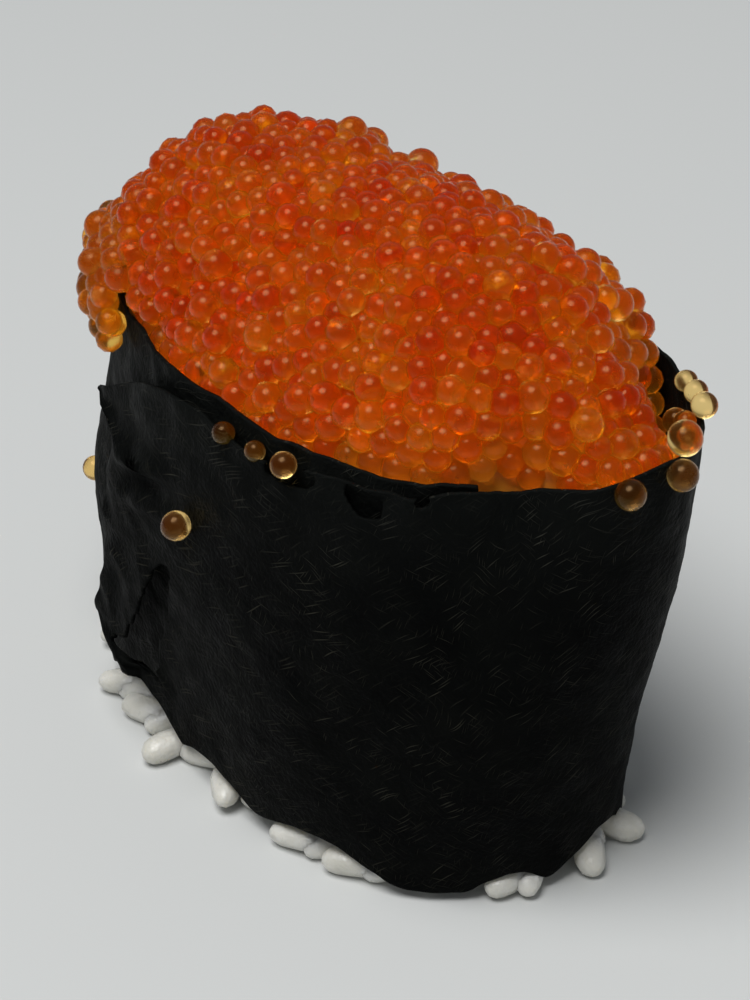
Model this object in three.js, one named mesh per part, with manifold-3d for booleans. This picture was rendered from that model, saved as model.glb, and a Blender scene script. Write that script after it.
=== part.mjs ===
// A gunkan sushi: an oval block of rice with one strip of nori wound round it, standing proud of the
// rice as a cup, and the cup heaped with small round fish roe that spills over one corner.
//
// Millimetres, +Z up. The origin is the middle of the underside of the whole piece's box, X runs
// along the oval and Y across it. Three solids: rice, nori_wrap and roe_heap.
//
// Places round the oval are given as angles: 0 is the +X end, 90 the far side, 180 the -X end and
// 270 the near side.

import * as THREE from 'three';
import { mergeVertices } from 'three/addons/utils/BufferGeometryUtils.js';
import Module from 'manifold-3d';

// ---------------------------------------------------------------- driving dimensions

// The oval that the nori follows, at its foot and at its rim. The rim leans a little.
const STRIP_HEIGHT = 34;
const FOOT_HALF_LENGTH = 24.2;
const FOOT_HALF_WIDTH = 12.9;
const FOOT_CENTRE = [0.3, 1.2];
const RIM_HALF_LENGTH = 25.0;
const RIM_HALF_WIDTH = 13.7;
const RIM_CENTRE = [2.6, 3.3];
const OVAL_POWER = 2.4;
const BARREL = 0.7;
const CORNER_PINCH = 1.2;
const CORNER_ANGLE = 220;

// Where the cup swells or flattens towards its rim: [push, angle, reach in degrees].
const FLARE_FOOT = 8;
const FLARES = [
  [2.9, 8, 34],
  [-1.7, 336, 26],
  [1.2, 284, 34],
];

// Slow waves of the sheet: [height, waves round the oval, drift in radians per mm, phase].
const SHEET_WAVES = [
  [0.3, 5, 0.1, 0.6],
  [0.18, 9, -0.16, 2.1],
];

// The strip. It starts near the +X end, runs behind and laps over its own start on the near side.
const NORI_THICKNESS = 0.5;
const LAP_STEP = 0.85;
const STRIP_START = 326;
const STRIP_TURN = 443;
const LAP_BEGINS = 318;
const LAP_COMPLETE = 352;
const OUTER_LAYER_DROP = 0.5;
const EDGE_DIP = 0.9;
const EDGE_DIP_ANGLE = 281;
const FLAP_TURN = 18;
const FLAP_LIFT = 0.8;
const FLAP_TOP_DROP = 7.4;
const FLAP_TOP_TURN = 30;
const FLAP_FOOT_RISE = 2.2;
const STRIP_COLUMNS = 76;
const STRIP_ROWS = 8;

// The block of rice and the grains that squeeze out under the nori.
const RICE_TOP = 23;
const RICE_COLUMNS = 32;
const GRAIN_LENGTH = 5.4;
const GRAIN_WIDTH = 2.4;
const GRAIN_SIDES = 6;
const GRAIN_BANDS = 4;

// The roe.
const EGG_RADIUS = 1.1;
const EGG_COUNT = 204;
const EGG_SPACING = 3;
const EGG_PROUD = 0.1;
const HEAP_SHOULDER = 33.4;
const HEAP_RISE = 10.2;
const HEAP_FULLNESS = 0.6;
const HEAP_LOWEST = 26;
const HOLLOW_DEPTH = 12;
const HOLLOW_CENTRE = [24.2, 12.1];
const HOLLOW_REACH = 7;
const HEAP_COLUMNS = 24;
const SPILL_REACH = 2;
const SPILL_RISE = 0.85;
const SPILL_ANGLE = 214;
const SPILL_HALF_TURN = 56;

// Neighbouring solids stop short of each other by this much, and eggs of the nori's rim by less.
const CLEARANCE = 0.4;
const RIM_GAP = 0.25;

// ---------------------------------------------------------------- helpers

const wasm = await Module();
wasm.setup();

const { lerp, smoothstep, degToRad } = THREE.MathUtils;

function signedPower(value, power) {
  return Math.sign(value) * Math.abs(value) ** power;
}

// A bell of height 1 at an angle, which falls to nothing at reach degrees to each side.
function bell(angle, centre, reach) {
  const apart = Math.abs(((angle - centre + 540) % 360 + 360) % 360 - 180);
  return 1 - smoothstep(apart, 0, reach);
}

// A repeatable stream of numbers from 0 to 1.
function seededRandom(seed) {
  let state = seed;
  return () => {
    state = (Math.imul(state, 1664525) + 1013904223) >>> 0;
    return state / 4294967296;
  };
}

function toSolid(geometry) {
  const bare = geometry.clone();
  bare.deleteAttribute('normal');
  bare.deleteAttribute('uv');
  const merged = mergeVertices(bare, 1e-4);
  const mesh = new wasm.Mesh({
    numProp: 3,
    vertProperties: new Float32Array(merged.attributes.position.array),
    triVerts: new Uint32Array(merged.index.array),
  });
  return new wasm.Manifold(mesh);
}

function toGeometry(solid) {
  const mesh = solid.getMesh();
  const geometry = new THREE.BufferGeometry();
  geometry.setAttribute('position', new THREE.BufferAttribute(mesh.vertProperties, 3));
  geometry.setIndex(new THREE.BufferAttribute(mesh.triVerts, 1));
  return geometry;
}

// One solid from a core and the pieces that lie on it. Only the main body is kept, which drops
// loose scraps and fills any hollow that the joining has sealed.
function fuse(core, pieces) {
  const joined = pieces.reduce((sum, piece) => sum.add(toSolid(piece)), toSolid(core));
  const bodies = joined.decompose();
  return bodies.reduce((best, body) => (body.volume() > best.volume() ? body : best));
}

function ringOf(count, pointAt) {
  return Array.from({ length: count }, (_, i) => pointAt((360 * i) / count));
}

// A closed solid from a stack of closed rings with equal counts, from the lowest ring to the top.
function ringedSolid(rings, bottom, top) {
  const count = rings[0].length;
  const points = rings.flat();
  points.push(bottom, top);
  const bottomIndex = points.length - 2;
  const topIndex = points.length - 1;
  const faces = [];
  for (let r = 0; r + 1 < rings.length; r += 1) {
    for (let i = 0; i < count; i += 1) {
      const here = r * count + i;
      const next = r * count + (i + 1) % count;
      faces.push(here, next, next + count, here, next + count, here + count);
    }
  }
  const last = (rings.length - 1) * count;
  for (let i = 0; i < count; i += 1) {
    const next = (i + 1) % count;
    faces.push(bottomIndex, next, i, topIndex, last + i, last + next);
  }
  const geometry = new THREE.BufferGeometry().setFromPoints(points);
  geometry.setIndex(faces);
  return geometry;
}

// ---------------------------------------------------------------- the wall that all three share

// How far the waves push the sheet out, the same for both layers of the lap and for what lies inside.
function crumple(angle, z) {
  const turn = degToRad(angle);
  let push = 0;
  for (const [height, count, drift, phase] of SHEET_WAVES) {
    push += height * Math.sin(count * turn + drift * z + phase);
  }
  return push;
}

function flare(angle, z) {
  const push = FLARES.reduce((sum, [most, centre, reach]) => sum + most * bell(angle, centre, reach), 0);
  return push * smoothstep(z, FLARE_FOOT, STRIP_HEIGHT);
}

// A point of the wall at an angle and height, pushed outwards along the wall's level normal.
function wallPoint(angle, z, outward) {
  const rise = z / STRIP_HEIGHT;
  const halfLength = lerp(FOOT_HALF_LENGTH, RIM_HALF_LENGTH, rise);
  const halfWidth = lerp(FOOT_HALF_WIDTH, RIM_HALF_WIDTH, rise);
  const c = Math.cos(degToRad(angle));
  const s = Math.sin(degToRad(angle));
  const normalX = signedPower(c, 2 - 2 / OVAL_POWER) / halfLength;
  const normalY = signedPower(s, 2 - 2 / OVAL_POWER) / halfWidth;
  const barrel = BARREL * Math.sin(Math.PI * rise);
  const pinch = CORNER_PINCH * bell(angle, CORNER_ANGLE, 45) * smoothstep(z, 12, 30);
  const bulge = barrel - pinch + crumple(angle, z) + flare(angle, z);
  const push = (outward + bulge) / Math.hypot(normalX, normalY);
  return new THREE.Vector3(
    lerp(FOOT_CENTRE[0], RIM_CENTRE[0], rise) + halfLength * signedPower(c, 2 / OVAL_POWER) + push * normalX,
    lerp(FOOT_CENTRE[1], RIM_CENTRE[1], rise) + halfWidth * signedPower(s, 2 / OVAL_POWER) + push * normalY,
    z,
  );
}

// A point just inside the innermost layer of nori, moved in by inset. Where the sheet comes round
// to lap over its start it swings outwards, and what it holds follows it.
function innerPoint(angle, z, inset) {
  const beforeStart = ((angle - STRIP_START) % 360 + 360) % 360;
  const swing = LAP_STEP * lapShare(360 - beforeStart) * smoothstep(beforeStart, 4, 18);
  return wallPoint(angle, z, swing - NORI_THICKNESS / 2 - CLEARANCE - inset);
}

// ---------------------------------------------------------------- nori

// Grains show under the nori at these angles: [angle, reach in degrees, rise of the nori's edge].
const PEEPS = [
  [8, 9, 2.4],
  [62, 10, 1.8],
  [98, 14, 2],
  [150, 12, 1.9],
  [180, 16, 2.4],
  [214, 15, 2.4],
  [249, 13, 3],
  [270, 9, 2.2],
  [296, 12, 2],
  [343, 7, 1.6],
];

function lowerEdge(angle) {
  const rise = PEEPS.map(([centre, reach, height]) => height * bell(angle, centre, 2 * reach));
  return 0.6 + Math.max(...rise);
}

// travelled is how many degrees of the winding lie behind a place on the strip.
function lapShare(travelled) {
  return smoothstep(travelled, LAP_BEGINS, LAP_COMPLETE);
}

function flapShare(travelled) {
  return smoothstep(travelled, STRIP_TURN - FLAP_TURN, STRIP_TURN);
}

function upperEdge(travelled) {
  const turn = degToRad(STRIP_START - travelled);
  const wave = 0.35 * Math.sin(3 * turn + 0.4) + 0.25 * Math.sin(8 * turn + 1.3);
  const lapped = smoothstep(travelled, 360, 372);
  const dip = EDGE_DIP * bell(STRIP_START - travelled, EDGE_DIP_ANGLE, 16);
  const fall = FLAP_TOP_DROP * smoothstep(travelled, STRIP_TURN - FLAP_TOP_TURN, STRIP_TURN + 2);
  return STRIP_HEIGHT + wave - (OUTER_LAYER_DROP + dip) * lapped - fall;
}

// The torn end of the flap, from its foot to the horn at its top: [height, degrees beyond its mean].
const TORN_END = [
  [6.5, -8],
  [8.2, 7],
  [14.8, -1.5],
  [19.2, 0.5],
  [25.2, -5.5],
  [26.2, 13],
];

function tornEnd(z) {
  const above = TORN_END.findIndex(([height]) => height > z);
  if (above === 0) return TORN_END[0][1];
  if (above < 0) return TORN_END[TORN_END.length - 1][1];
  const [low, first] = TORN_END[above - 1];
  const [high, last] = TORN_END[above];
  return lerp(first, last, (z - low) / (high - low));
}

function stripPoint(column, row, side) {
  const along = column / STRIP_COLUMNS;
  const nominal = along * STRIP_TURN;
  const low = lowerEdge(STRIP_START - nominal) + FLAP_FOOT_RISE * flapShare(nominal);
  const z = lerp(low, upperEdge(nominal), row / STRIP_ROWS);
  const travelled = nominal + tornEnd(z) * smoothstep(along, 0.93, 1);
  const stands = LAP_STEP * lapShare(travelled) + FLAP_LIFT * flapShare(nominal);
  return wallPoint(STRIP_START - travelled, z, stands + side * NORI_THICKNESS / 2);
}

// A thin slab whose two faces are split into triangles alike.
function slab(columns, rows, pointAt) {
  const points = [];
  for (const side of [1, -1]) {
    for (let i = 0; i <= columns; i += 1) {
      for (let j = 0; j <= rows; j += 1) {
        points.push(pointAt(i, j, side));
      }
    }
  }
  const half = (columns + 1) * (rows + 1);
  const at = (i, j) => i * (rows + 1) + j;
  const faces = [];
  for (let i = 0; i < columns; i += 1) {
    for (let j = 0; j < rows; j += 1) {
      const [a, b, c, d] = [at(i, j), at(i + 1, j), at(i + 1, j + 1), at(i, j + 1)];
      faces.push(a, c, b, a, d, c);
      faces.push(a + half, b + half, c + half, a + half, c + half, d + half);
    }
  }
  const rim = [];
  for (let i = 0; i < columns; i += 1) rim.push(at(i, 0));
  for (let j = 0; j < rows; j += 1) rim.push(at(columns, j));
  for (let i = columns; i > 0; i -= 1) rim.push(at(i, rows));
  for (let j = rows; j > 0; j -= 1) rim.push(at(0, j));
  rim.forEach((here, k) => {
    const next = rim[(k + 1) % rim.length];
    faces.push(here, next, next + half, here, next + half, here + half);
  });
  const geometry = new THREE.BufferGeometry().setFromPoints(points);
  geometry.setIndex(faces);
  return geometry;
}

// Single eggs that stuck to the nori: [angle, height, how far out, size].
const STRAY_EGGS = [
  [270, 24.2, LAP_STEP + 0.95, 1],
  [276.5, 33.1, LAP_STEP + 0.2, 0.85],
  [282.5, 32.9, LAP_STEP + 0.2, 0.75],
  [288, 32.8, LAP_STEP + 0.2, 0.8],
  [356, 32.7, 1.2, 0.95],
  [7, 32.5, 1.1, 1],
  [8, 35.4, 0.2, 1.1],
  [25, 34.7, 0.2, 0.8],
  [30, 34.8, -0.1, 0.75],
  [36, 34.6, -0.2, 0.7],
  [118, 30.5, 1.0, 1],
  [205, 14, 0.95, 0.9],
];

// An egg with one corner turned along axis, away from what it lies on.
function egg(centre, axis, size) {
  const corner = new THREE.Vector3(0, 1, 0.5 + Math.sqrt(1.25)).normalize();
  const turn = new THREE.Quaternion().setFromUnitVectors(corner, axis);
  const geometry = new THREE.IcosahedronGeometry(EGG_RADIUS * size, 0).applyQuaternion(turn);
  return geometry.translate(centre.x, centre.y, centre.z);
}

function wallEgg(angle, z, outward, size) {
  const centre = wallPoint(angle, z, outward);
  const axis = centre.clone().sub(wallPoint(angle, z, outward - 1)).normalize();
  return egg(centre, axis, size);
}

function noriWrap() {
  const sheet = slab(STRIP_COLUMNS, STRIP_ROWS, stripPoint);
  return toGeometry(fuse(sheet, STRAY_EGGS.map((place) => wallEgg(...place))));
}

// ---------------------------------------------------------------- rice

// One cooked grain: a long egg shape that lies along the wall at an angle, tipped by tilt degrees.
function grain(angle, z, outward, tilt) {
  const geometry = new THREE.SphereGeometry(0.5, GRAIN_SIDES, GRAIN_BANDS);
  geometry.scale(GRAIN_WIDTH, GRAIN_LENGTH, GRAIN_WIDTH);
  const here = wallPoint(angle, z, outward);
  const next = wallPoint(angle + 2, z, outward);
  geometry.rotateX(degToRad(tilt));
  geometry.rotateZ(Math.atan2(next.y - here.y, next.x - here.x) - Math.PI / 2);
  return geometry.translate(here.x, here.y, here.z);
}

// Two or three grains at each place where the nori's edge lets them show.
function footGrains() {
  const random = seededRandom(7);
  const grains = [];
  for (const [centre, reach, rise] of PEEPS) {
    const count = reach > 12 ? 2 : 1;
    for (let i = 0; i < count; i += 1) {
      const angle = centre + (i - (count - 1) / 2) * 1.05 * reach;
      const tilt = 20 * (random() - 0.5);
      grains.push(grain(angle, 0.1 + 0.16 * rise, 0.3 * random() - 0.5, tilt));
    }
  }
  return grains;
}

function rice() {
  const levels = [
    [0, 0.7],
    [1.2, 0.1],
    [6, 0],
    [15, 0],
    [RICE_TOP - 2, 0],
    [RICE_TOP, 2.2],
  ];
  const rings = levels.map(([z, inset]) => ringOf(RICE_COLUMNS, (angle) => innerPoint(angle, z, inset)));
  const bottom = new THREE.Vector3(FOOT_CENTRE[0], FOOT_CENTRE[1], 0);
  const top = new THREE.Vector3(FOOT_CENTRE[0] + 1, FOOT_CENTRE[1] + 1, RICE_TOP);
  const block = fuse(ringedSolid(rings, bottom, top), footGrains());
  const above = new THREE.BoxGeometry(4 * FOOT_HALF_LENGTH, 4 * FOOT_HALF_WIDTH, 2 * RICE_TOP);
  return toGeometry(block.intersect(toSolid(above.translate(0, 0, RICE_TOP))));
}

// ---------------------------------------------------------------- roe

function spillShare(angle) {
  return bell(angle, SPILL_ANGLE, SPILL_HALF_TURN);
}

// Height of the heap's core over a point of the plan: a loaf that falls away to the cup's edge,
// fuller towards the spill and with a round hollow in the far corner of the +X end.
function heapTop(x, y) {
  const along = (x - RIM_CENTRE[0]) / RIM_HALF_LENGTH;
  const across = (y - RIM_CENTRE[1]) / RIM_HALF_WIDTH;
  const loaf = Math.max(0, 1 - Math.abs(along) ** 4 - across ** 2);
  const full = HEAP_FULLNESS * smoothstep(-along, 0.1, 0.5) * smoothstep(-across, -1.2, 0.4);
  const fromHollow = Math.hypot(x - HOLLOW_CENTRE[0], y - HOLLOW_CENTRE[1]);
  const hollow = HOLLOW_DEPTH * (1 - smoothstep(fromHollow, 0, HOLLOW_REACH));
  return Math.max(HEAP_LOWEST, HEAP_SHOULDER + HEAP_RISE * loaf + full - hollow);
}

// The plan outline of the heap, which follows the inside of the cup and bulges out at the spill.
function heapEdge(angle, inset) {
  const spilt = smoothstep(spillShare(angle), 0.2, 0.8);
  const reach = lerp(inset, -SPILL_REACH - 0.65, spilt);
  const first = innerPoint(angle, STRIP_HEIGHT, reach);
  const level = Math.min(STRIP_HEIGHT, heapTop(first.x, first.y));
  const point = innerPoint(angle, level, reach);
  point.z = heapTop(point.x, point.y) + SPILL_RISE * spilt;
  return point;
}

// Where the heap leaves the wall: just under its edge, or clear over the rim at the spill.
function seatHeight(angle) {
  const overRim = smoothstep(spillShare(angle), 0, 0.2);
  return lerp(heapEdge(angle, 0).z - 0.8, STRIP_HEIGHT + 1, overRim);
}

function heapCore() {
  const centre = new THREE.Vector3(RIM_CENTRE[0], RIM_CENTRE[1], 0);
  const floor = RICE_TOP + CLEARANCE;
  const edge = ringOf(HEAP_COLUMNS, (angle) => heapEdge(angle, 0));
  const rings = [
    ringOf(HEAP_COLUMNS, (angle) => innerPoint(angle, floor, 0)),
    ringOf(HEAP_COLUMNS, (angle) => innerPoint(angle, lerp(floor, seatHeight(angle), 0.5), 0)),
    ringOf(HEAP_COLUMNS, (angle) => innerPoint(angle, seatHeight(angle), 0)),
    edge,
  ];
  for (const share of [0.88, 0.74, 0.4]) {
    rings.push(edge.map((point) => {
      const inner = point.clone().lerp(centre, 1 - share);
      inner.z = heapTop(inner.x, inner.y);
      return inner;
    }));
  }
  const bottom = new THREE.Vector3(centre.x, centre.y, floor);
  const top = new THREE.Vector3(centre.x, centre.y, heapTop(centre.x, centre.y));
  return ringedSolid(rings, bottom, top);
}

function inside(outline, x, y) {
  let within = false;
  outline.forEach((a, i) => {
    const b = outline[(i + 1) % outline.length];
    if ((a.y > y) !== (b.y > y) && x < a.x + ((y - a.y) * (b.x - a.x)) / (b.y - a.y)) within = !within;
  });
  return within;
}

// Eggs start at random over the heap and then push each other apart until they lie evenly.
function eggPlaces() {
  const random = seededRandom(18);
  const outline = ringOf(72, (angle) => heapEdge(angle, EGG_RADIUS));
  const places = [];
  while (places.length < EGG_COUNT) {
    const x = RIM_CENTRE[0] + (2 * random() - 1) * 1.2 * RIM_HALF_LENGTH;
    const y = RIM_CENTRE[1] + (2 * random() - 1) * 1.2 * RIM_HALF_WIDTH;
    if (inside(outline, x, y)) places.push(new THREE.Vector3(x, y, heapTop(x, y)));
  }
  const push = new THREE.Vector3();
  for (let step = 0; step < 60; step += 1) {
    for (const here of places) {
      const moved = here.clone();
      for (const other of places) {
        const apart = here.distanceTo(other);
        if (other !== here && apart < EGG_SPACING) {
          push.subVectors(here, other).multiplyScalar(0.25 * (EGG_SPACING / (apart + 0.01) - 1));
          moved.add(push);
        }
      }
      if (inside(outline, moved.x, moved.y)) here.set(moved.x, moved.y, heapTop(moved.x, moved.y));
    }
  }
  return places;
}

// Eggs that hang from the spill down the outside of the cup, each on the one above it.
function spilledEggs() {
  const eggs = [];
  for (let angle = SPILL_ANGLE - 18; angle <= SPILL_ANGLE + 24; angle += 6) {
    const deep = bell(angle, SPILL_ANGLE + 8, 30);
    for (let drop = 0; drop <= 2.9 * deep; drop += 1) {
      const z = STRIP_HEIGHT + 0.7 - 1.6 * drop;
      eggs.push(wallEgg(angle + 3 * drop, z, SPILL_REACH + 0.1 - 0.2 * drop, 1));
    }
  }
  return eggs;
}

// An egg of the heap. Over the edge of the nori it is lifted until it clears the sheet.
function heapEgg(place, rim) {
  const { x, y, z } = place;
  const axis = new THREE.Vector3(z - heapTop(x + 1, y), z - heapTop(x, y + 1), 1).normalize();
  const centre = place.clone().addScaledVector(axis, EGG_PROUD);
  const clear = EGG_RADIUS + NORI_THICKNESS / 2 + RIM_GAP;
  while (rim.some((point) => point.distanceTo(centre) < clear)) centre.z += 0.1;
  return egg(centre, axis, 1);
}

function roeHeap() {
  const rim = ringOf(120, (angle) => wallPoint(angle, STRIP_HEIGHT + 0.4, 0));
  const eggs = eggPlaces().map((place) => heapEgg(place, rim));
  return toGeometry(fuse(heapCore(), [...eggs, ...spilledEggs()]));
}

// ---------------------------------------------------------------- the finished piece

const MATERIALS = {
  rice: { color: 0xd9d6c8, roughness: 0.45, metalness: 0 },
  nori_wrap: { color: 0x14171a, roughness: 0.55, metalness: 0 },
  roe_heap: { color: 0xe0540c, roughness: 0.15, metalness: 0 },
};

const gunkan = new THREE.Group();
for (const [name, geometry] of [['rice', rice()], ['nori_wrap', noriWrap()], ['roe_heap', roeHeap()]]) {
  const mesh = new THREE.Mesh(geometry, new THREE.MeshStandardMaterial(MATERIALS[name]));
  mesh.name = name;
  gunkan.add(mesh);
}

const box = new THREE.Box3().setFromObject(gunkan);
const middle = box.getCenter(new THREE.Vector3());
gunkan.position.set(-middle.x, -middle.y, -box.min.z);
gunkan.updateMatrixWorld(true);

export default gunkan;
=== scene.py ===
"""A gunkan sushi: a block of rice in a strip of nori, heaped with small orange roe."""

import math

import bpy
import numpy as np
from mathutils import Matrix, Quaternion, Vector, noise


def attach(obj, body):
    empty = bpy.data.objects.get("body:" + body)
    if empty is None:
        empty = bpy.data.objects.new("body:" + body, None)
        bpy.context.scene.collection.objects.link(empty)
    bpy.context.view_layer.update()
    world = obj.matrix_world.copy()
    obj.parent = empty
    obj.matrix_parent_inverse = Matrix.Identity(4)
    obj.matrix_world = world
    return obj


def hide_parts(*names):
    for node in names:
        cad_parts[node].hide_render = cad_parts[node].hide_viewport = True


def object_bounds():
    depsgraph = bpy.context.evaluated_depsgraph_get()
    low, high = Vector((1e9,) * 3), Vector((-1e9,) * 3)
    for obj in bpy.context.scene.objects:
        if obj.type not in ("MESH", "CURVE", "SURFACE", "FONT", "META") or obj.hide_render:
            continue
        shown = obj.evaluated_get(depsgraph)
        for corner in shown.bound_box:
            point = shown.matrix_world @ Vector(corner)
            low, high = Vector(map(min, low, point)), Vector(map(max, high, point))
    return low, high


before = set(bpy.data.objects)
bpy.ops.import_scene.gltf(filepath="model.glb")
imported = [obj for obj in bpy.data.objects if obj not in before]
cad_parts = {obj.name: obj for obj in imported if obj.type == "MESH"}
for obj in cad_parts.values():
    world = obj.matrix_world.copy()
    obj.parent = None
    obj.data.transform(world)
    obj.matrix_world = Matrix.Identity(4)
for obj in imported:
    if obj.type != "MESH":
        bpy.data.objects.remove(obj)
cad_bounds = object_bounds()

# ------------------------------------------------------------------ sizes, in millimetres and degrees

MM = 0.001

# Places round the oval are angles: 0 is the +X end, 90 the far side, 180 the -X end, 270 the near side.
OVAL_ZERO = np.array([-3.744, -1.404])
STRIP_HEIGHT = 34.0
FOOT_HALF = (24.2, 12.9)
FOOT_CENTRE = OVAL_ZERO + (0.3, 1.2)
RIM_HALF = (25.0, 13.7)
RIM_CENTRE = OVAL_ZERO + (2.6, 3.3)
OVAL_POWER = 2.4
BARREL = 0.7
CORNER_PINCH = 1.2
CORNER_ANGLE = 220
SHEET_WAVES = ((0.3, 5, 0.1, 0.6), (0.18, 9, -0.16, 2.1))
FLARE_FOOT = 8
FLARES = ((2.9, 8, 34), (-1.7, 336, 26), (1.2, 284, 34))

# The strip of nori, wound a turn and a quarter.
NORI_THICKNESS = 0.26
LAP_STEP = 0.85
STRIP_START = 326
STRIP_TURN = 443
LAP_BEGINS = 318
LAP_COMPLETE = 352
OUTER_LAYER_DROP = 0.5
EDGE_DIP = 0.9
EDGE_DIP_ANGLE = 281
FLAP_TURN = 18
FLAP_LIFT = 0.8
FLAP_TOP_DROP = 7.4
FLAP_TOP_TURN = 30
FLAP_FOOT_RISE = 2.2

# The flap's torn end, from its foot to the horn at its top: heights, and degrees beyond its mean there.
TORN_HEIGHTS = (6.5, 8.2, 14.8, 19.2, 25.2, 26.2)
TORN_DEGREES = (-8, 7, -1.5, 0.5, -5.5, 13)
SHEET_COLUMNS = 430
SHEET_ROWS = 84

# Where the nori's lower edge lets grains show: (angle, reach, rise of the edge).
PEEPS = (
    (8, 9, 2.4), (62, 10, 1.8), (98, 14, 2.0), (150, 12, 1.9), (180, 16, 2.4),
    (214, 15, 2.4), (249, 13, 3.0), (270, 9, 2.2), (296, 12, 2.0), (343, 7, 1.6),
)

# The pocket in the flap, below its top edge, and the slit that leads down to its curled foot.
POCKET_ANGLE = 260
POCKET_HEIGHT = 24.3
SLIT = ((265, 18.8), (259.5, 12.5), (253.5, 7.6))
CURL_ANGLE = 246
CURL_HEIGHT = 7.5

# Rice.
RICE_TOP = 23.0
RICE_UNDERSIDE = 0.8
RICE_CLEARANCE = 0.35
GRAIN_LEVEL = 1.1
GRAIN_LENGTH = 4.7
GRAIN_WIDTH = 2.3
UNDERSIDE_STEP = 3.3

# The grains that show at the foot of the near side:
# (angle, outward, turn from the wall's run, tilt, size).
FOOT_GRAINS = (
    (239.5, 0.1, 35, 8, 0.9), (244.5, -0.5, 10, 14, 1.0), (250.5, 0.35, 12, 6, 1.0),
    (255.5, -0.6, 60, 10, 0.95), (261.5, 1.15, 84, 4, 1.0), (266.5, -0.5, 20, 12, 1.0),
    (272.5, 0.45, -30, 6, 1.0), (279, -0.9, 15, 8, 0.9), (289.5, 0.35, 8, 6, 0.9),
    (296, -0.6, 40, 10, 0.9), (303, 0.15, 14, 4, 1.0), (311, -0.6, 25, 8, 0.9),
    (344, 0.1, 20, 6, 0.9), (350, -0.3, 60, 8, 0.85), (5, 0.0, 40, 8, 0.95), (19, 0.0, 75, 4, 1.0),
)
FAR_PEEPS = (62, 98, 150, 180, 206)

# Roe.
EGG_RADIUS = 1.1
HEAP_EGGS = 1180
EGG_TOUCH = 0.86
SETTLING_STEPS = 60
BRIM_EGG_HEIGHT = 33.9
BRIM_EGG_INSET = 1.5
BRIM_FILL_HEIGHT = 33.1
BRIM_FILL_INSET = 1.4
BRIM_FILL_SPACING = 1.45
CLEAR_SHARE = 0.11
CLEAR_RIPEST = 0.4
STRAY_RIPEST = 0.5
HEAP_SHOULDER = 33.4
HEAP_RISE = 10.2
HEAP_FULLNESS = 0.6
HEAP_LOWEST = 26
HOLLOW_DEPTH = 12
HOLLOW_CENTRE = OVAL_ZERO + (24.2, 12.1)
HOLLOW_REACH = 7
HEAP_CORE_DEPTH = 2.1
EGG_ROOM = 1.06
CORE_EDGE_INSET = 1.5
CORE_EDGE_HIGHEST = 33
CORE_RINGS = (1, 0.93, 0.84, 0.72, 0.58, 0.42, 0.25, 0.1, 0)
SPILL_REACH = 2.0
SPILL_ANGLE = 214
SPILL_HALF_TURN = 56

# Single eggs that stuck to the nori: (angle, height, how far out, size).
STRAY_EGGS = (
    (270, 24.2, LAP_STEP + 0.95, 1.0), (276.5, 33.1, LAP_STEP + 0.1, 0.72),
    (282.5, 32.9, LAP_STEP + 0.1, 0.66), (288, 32.8, LAP_STEP + 0.2, 0.8),
    (356, 33.5, 1.15, 0.95), (5.5, 33.4, 0.95, 0.95), (8, 35.4, 0.2, 1.1),
    (25, 34.7, 0.2, 0.8), (30, 34.8, -0.1, 0.75), (36, 34.6, -0.2, 0.7), (118, 30.5, 0.85, 0.95),
    (205, 14, 0.95, 0.9), (20, 32.6, -1.0, 0.8), (26, 33.2, -0.9, 0.7), (32, 32.2, -1.0, 0.85),
)

# Colours, as pairs that a pattern or an egg's ripeness mixes, and the painted glow of the roe: emission
# that stands in for light scattered inside it, brighter and yellower on the eggs' down-facing sides.
# A layer of strands is (turn, length, width, size, bend).
EGG_IOR = 1.36
EGG_GLINT = (1.0, 0.6, 0.28, 1)
# Painted glow of the eggs: emission colours for up-facing and down-facing sides, each a pair mixed by
# ripeness.
EGG_PAINTED_GLOW_ABOVE = ((1.0, 0.26, 0.006), (0.75, 0.07, 0.001))
EGG_PAINTED_GLOW_UNDER = ((1.0, 0.62, 0.05), (1.0, 0.34, 0.015))
CLEAR_TINTS = ((0.98, 0.74, 0.3), (0.97, 0.6, 0.16))
# Strength of the clear eggs' painted glow.
CLEAR_PAINTED_GLOW = 0.022
PACKED_TINTS = ((0.99, 0.74, 0.18), (0.94, 0.38, 0.03))
# Strength of the packed eggs' painted glow.
PACKED_PAINTED_GLOW = 0.032
CORE_TINTS = ((0.62, 0.16, 0.008), (0.85, 0.32, 0.03))
# Painted glow of the core: an even orange emission, its colour and strength, in place of light scattered
# through the packed roe.
CORE_PAINTED_GLOW_COLOUR = (1.0, 0.33, 0.03, 1)
CORE_PAINTED_GLOW = 0.025
NORI_TINTS = ((0.0012, 0.0014, 0.0014), (0.0030, 0.0034, 0.0030))
# Painted light: the nori is painted lighter towards its top, as if lit by the lamp overhead. These give
# the lighter tint, the heights in metres over which it comes in, and how much; the strands there take the
# second, lighter strand tint.
NORI_PAINTED_LIT_TOP_TINT = (0.0060, 0.0068, 0.0062)
NORI_PAINTED_LIT_TOP_HEIGHTS = (0.022, 0.034)
NORI_PAINTED_LIT_TOP_SHARE = 0.6
STRAND_LAYERS = ((0.66, 2.4, 38.0, 0.19, 0.18), (-0.5, 2.0, 44.0, 0.14, 0.2), (1.3, 3.4, 48.0, 0.14, 0.2))
STRAND_TINTS = ((0.050, 0.048, 0.036), (0.075, 0.075, 0.063))
RICE_TINTS = ((0.60, 0.585, 0.52), (0.78, 0.76, 0.70))
FLOOR_COLOUR = (0.62, 0.63, 0.62, 1)
SKY_COLOUR = (0.9, 0.95, 1.0, 1)

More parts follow.
